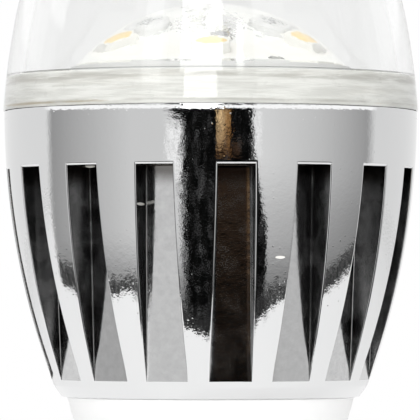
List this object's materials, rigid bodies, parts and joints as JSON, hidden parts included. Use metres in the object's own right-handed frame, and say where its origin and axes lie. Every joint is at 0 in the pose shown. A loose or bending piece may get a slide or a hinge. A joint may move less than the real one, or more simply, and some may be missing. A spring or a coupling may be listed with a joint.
{
  "type": "led candle bulb",
  "caption": "Candle bulb with a clear pointed globe over a ring of diodes, a chrome-plated slotted heat sink, a white tapered collar and a small screw cap.",
  "frame": {"origin": "middle of the centre contact's flat tip, on the lamp's axis", "axes": "+Z along the lamp's axis from the cap to the globe's tip, -Y towards the viewer"},
  "size_m": [0.0372, 0.0372, 0.0999],
  "materials": {
    "clear_cover": "clear, smooth",
    "chrome_plating": "mirror plated over a die-cast skin",
    "white_housing": "satin moulded plastic",
    "sealant": "cured silicone",
    "thermal_filler": "matte",
    "white_board": "white coated metal-core board",
    "diode_package": "white moulded",
    "phosphor": "soft silicone filling",
    "clear_lens": "clear, polished",
    "screw_steel": "zinc plated",
    "solder": "bright",
    "black_insulation": "satin",
    "white_insulation": "satin",
    "green_board": "coated laminate",
    "ferrite": "sintered, matte",
    "bobbin_plastic": "moulded",
    "winding_tape": "yellow film tape",
    "can_sleeve": "shrink sleeve",
    "film_case": "moulded case",
    "package_black": "moulded",
    "resistor_coat": "lacquer",
    "cap_nickel": "nickel-plated brass",
    "cap_insulator": "glossy black",
    "contact_metal": "nickel-plated"
  },
  "bodies": {
    "root": {"globe": "clear_cover", "globe_seal": "sealant", "heat_sink": "chrome_plating", "thermal_pad": "thermal_filler", "led_board": "white_board", "lens": "clear_lens", "board_screws": "screw_steel", "solder_joints": "solder", "led_wire_positive": "white_insulation", "led_wire_negative": "white_insulation", "driver_lid": "white_housing", "base_housing": "white_housing", "driver_board": "green_board", "transformer_core": "ferrite", "transformer_bobbin": "bobbin_plastic", "transformer_winding": "winding_tape", "electrolytic_capacitor": "can_sleeve", "film_capacitor": "film_case", "bridge_rectifier": "package_black", "driver_chip": "package_black", "output_diode": "package_black", "fusible_resistor": "resistor_coat", "live_wire": "white_insulation", "neutral_wire": "black_insulation", "screw_shell": "cap_nickel", "cap_insulator": "cap_insulator", "centre_contact": "contact_metal", "led_1": "diode_package", "led_phosphor_1": "phosphor", "led_2": "diode_package", "led_phosphor_2": "phosphor", "led_3": "diode_package", "led_phosphor_3": "phosphor", "led_4": "diode_package", "led_phosphor_4": "phosphor", "led_5": "diode_package", "led_phosphor_5": "phosphor"}
  },
  "joints": []
}
